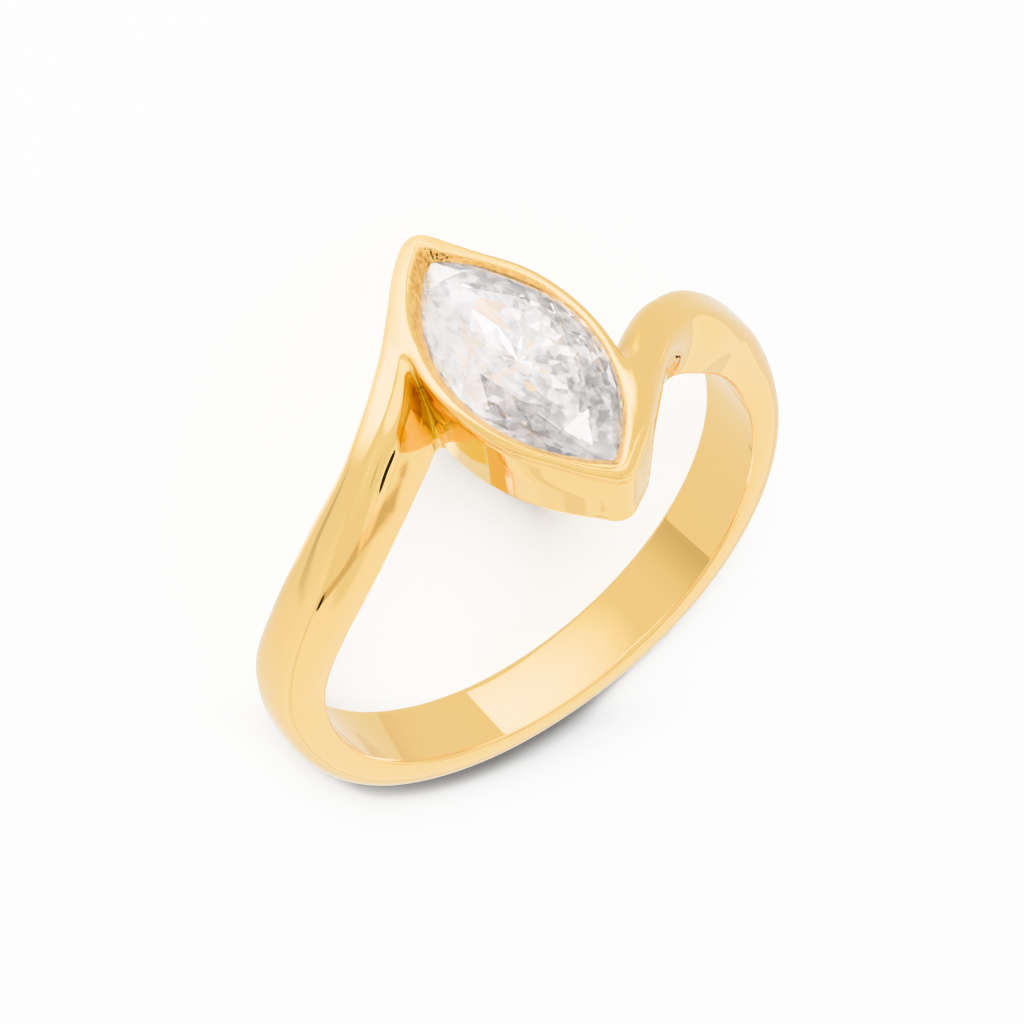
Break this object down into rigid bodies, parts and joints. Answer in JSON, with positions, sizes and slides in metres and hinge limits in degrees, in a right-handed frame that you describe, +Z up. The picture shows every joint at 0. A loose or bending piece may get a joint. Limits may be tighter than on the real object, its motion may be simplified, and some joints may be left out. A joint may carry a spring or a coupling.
{
  "type": "navette ring",
  "caption": "Bypass finger ring whose two tapered arms sweep past a long pointed bezel that holds a marquise-cut stone.",
  "frame": {"origin": "middle of the ring's footprint, on the surface that it lies on", "axes": "+Z up as the ring lies on its back, -Y from the finger hole towards the stone, +X across the band"},
  "size_m": [0.0202, 0.0216, 0.0115],
  "materials": {
    "gold": "polished yellow gold",
    "stone": "clear faceted marquise"
  },
  "bodies": {
    "root": {"ring_body": "gold", "stone": "stone"}
  },
  "joints": []
}
